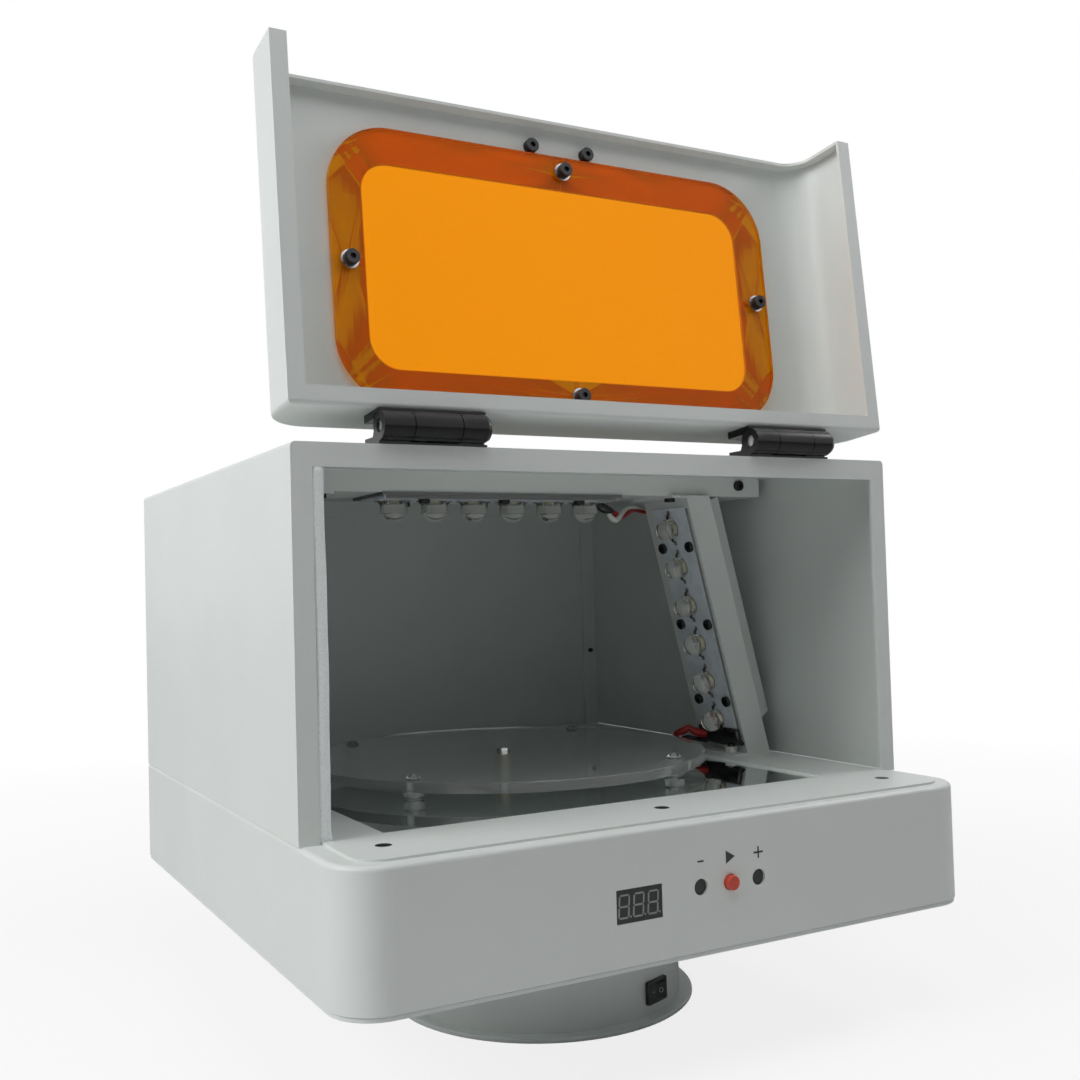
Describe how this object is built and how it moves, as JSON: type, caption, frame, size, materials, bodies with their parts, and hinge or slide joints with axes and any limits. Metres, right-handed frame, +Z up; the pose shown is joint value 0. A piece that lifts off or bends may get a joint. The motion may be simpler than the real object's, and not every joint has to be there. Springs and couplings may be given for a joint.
{
  "type": "uv curing chamber",
  "caption": "Bench-top curing box with a lift-up windowed lid, lens LED boards, mirrored floor, turntable and round pedestal.",
  "frame": {"origin": "centre of the round foot plate's underside, on the table", "axes": "+Z up, -Y to the front where the mouth, lid and controls are, +X to the right seen from the front"},
  "size_m": [0.32, 0.3373, 0.443],
  "materials": {
    "white_paint": "satin powder coat",
    "black_steel": "black oxide",
    "black_coat": "satin black",
    "steel": "bright",
    "zinc_plate": "zinc plated",
    "mirror_sheet": "polished",
    "clear_acrylic": "clear",
    "lens_acrylic": "clear",
    "amber_acrylic": "clear",
    "hub_brass": "turned",
    "white_plastic": "matte",
    "circuit_board": "white solder mask",
    "carrier_aluminium": "mill finish",
    "emitter": "phosphor and silicone",
    "black_plastic": "matte",
    "red_plastic": "gloss",
    "display_black": "gloss",
    "green_board": "green solder mask",
    "foam": "white foam",
    "rubber_black": "soft",
    "red_wire": "insulation",
    "black_wire": "insulation",
    "white_wire": "insulation"
  },
  "bodies": {
    "cabinet": {"black_supply_wire": "black_wire", "board_standoffs": "steel", "bottom_plate": "white_paint", "bottom_plate_screws": "black_steel", "button_switches": "black_plastic", "cabinet_shell": "white_paint", "ceiling_beam": "white_paint", "ceiling_beam_tab": "white_paint", "ceiling_led_board": "circuit_board", "ceiling_led_plate": "carrier_aluminium", "control_board": "green_board", "dc_inlet": "black_plastic", "display_module": "display_black", "driver_board": "green_board", "floor_mirror": "mirror_sheet", "floor_plate": "white_paint", "floor_plate_screws": "black_steel", "gear_motor": "steel", "hinge_cabinet_leaves": "black_coat", "hinge_cabinet_screws": "black_steel", "hinge_pins": "steel", "jamb_seal": "foam", "led_board_screws": "black_steel", "led_emitters": "emitter", "led_frame_screws": "black_steel", "led_lenses": "lens_acrylic", "motor_bracket": "zinc_plate", "motor_screws": "black_steel", "pedestal_drum": "white_paint", "pedestal_flange": "white_paint", "pedestal_screws": "black_steel", "rear_panel": "white_paint", "rear_panel_screws": "black_steel", "red_link_wire": "red_wire", "red_supply_wire": "red_wire", "rocker_housing": "black_plastic", "side_bar_bracket": "white_paint", "side_bar_connector": "black_plastic", "side_bar_spacer": "white_plastic", "side_led_board": "circuit_board", "white_link_wire": "white_wire", "wire_grommet": "rubber_black"},
    "lid": {"lid_hood": "white_paint", "window_pane": "amber_acrylic", "window_washers": "steel", "window_screws": "black_steel", "lid_handle": "black_plastic", "handle_screws": "black_steel", "hinge_lid_leaves": "black_coat", "hinge_lid_screws": "black_steel"},
    "turntable": {"turntable_disc": "clear_acrylic", "turntable_hub": "hub_brass", "turntable_shaft": "steel", "turntable_pads": "clear_acrylic", "turntable_screw": "steel"},
    "minus_button": {"minus_button": "black_plastic"},
    "start_button": {"start_button": "red_plastic"},
    "plus_button": {"plus_button": "black_plastic"},
    "power_rocker": {"rocker_key": "black_plastic"}
  },
  "joints": [
    {"name": "lid_hinge", "type": "hinge", "parent": "cabinet", "child": "lid", "pos_m": [0, -0.0944, 0.2771], "axis": [1, 0, 0], "range_deg": [0, 185.5]},
    {"name": "turntable_spin", "type": "hinge", "parent": "cabinet", "child": "turntable", "pos_m": [0, 0.036, 0.119], "axis": [0, 0, 1], "continuous": true},
    {"name": "minus_press", "type": "slide", "parent": "cabinet", "child": "minus_button", "axis": [0, 1, 0], "range_m": [0, 0.0005], "stiffness_N_per_m": 1500, "springref_m": -0.0003},
    {"name": "start_press", "type": "slide", "parent": "cabinet", "child": "start_button", "axis": [0, 1, 0], "range_m": [0, 0.0005], "stiffness_N_per_m": 1500, "springref_m": -0.0003},
    {"name": "plus_press", "type": "slide", "parent": "cabinet", "child": "plus_button", "axis": [0, 1, 0], "range_m": [0, 0.0005], "stiffness_N_per_m": 1500, "springref_m": -0.0003},
    {"name": "power_rock", "type": "hinge", "parent": "cabinet", "child": "power_rocker", "pos_m": [0.02484, -0.06439, 0.0128], "axis": [0, 0, 1], "range_deg": [0, 22]}
  ]
}
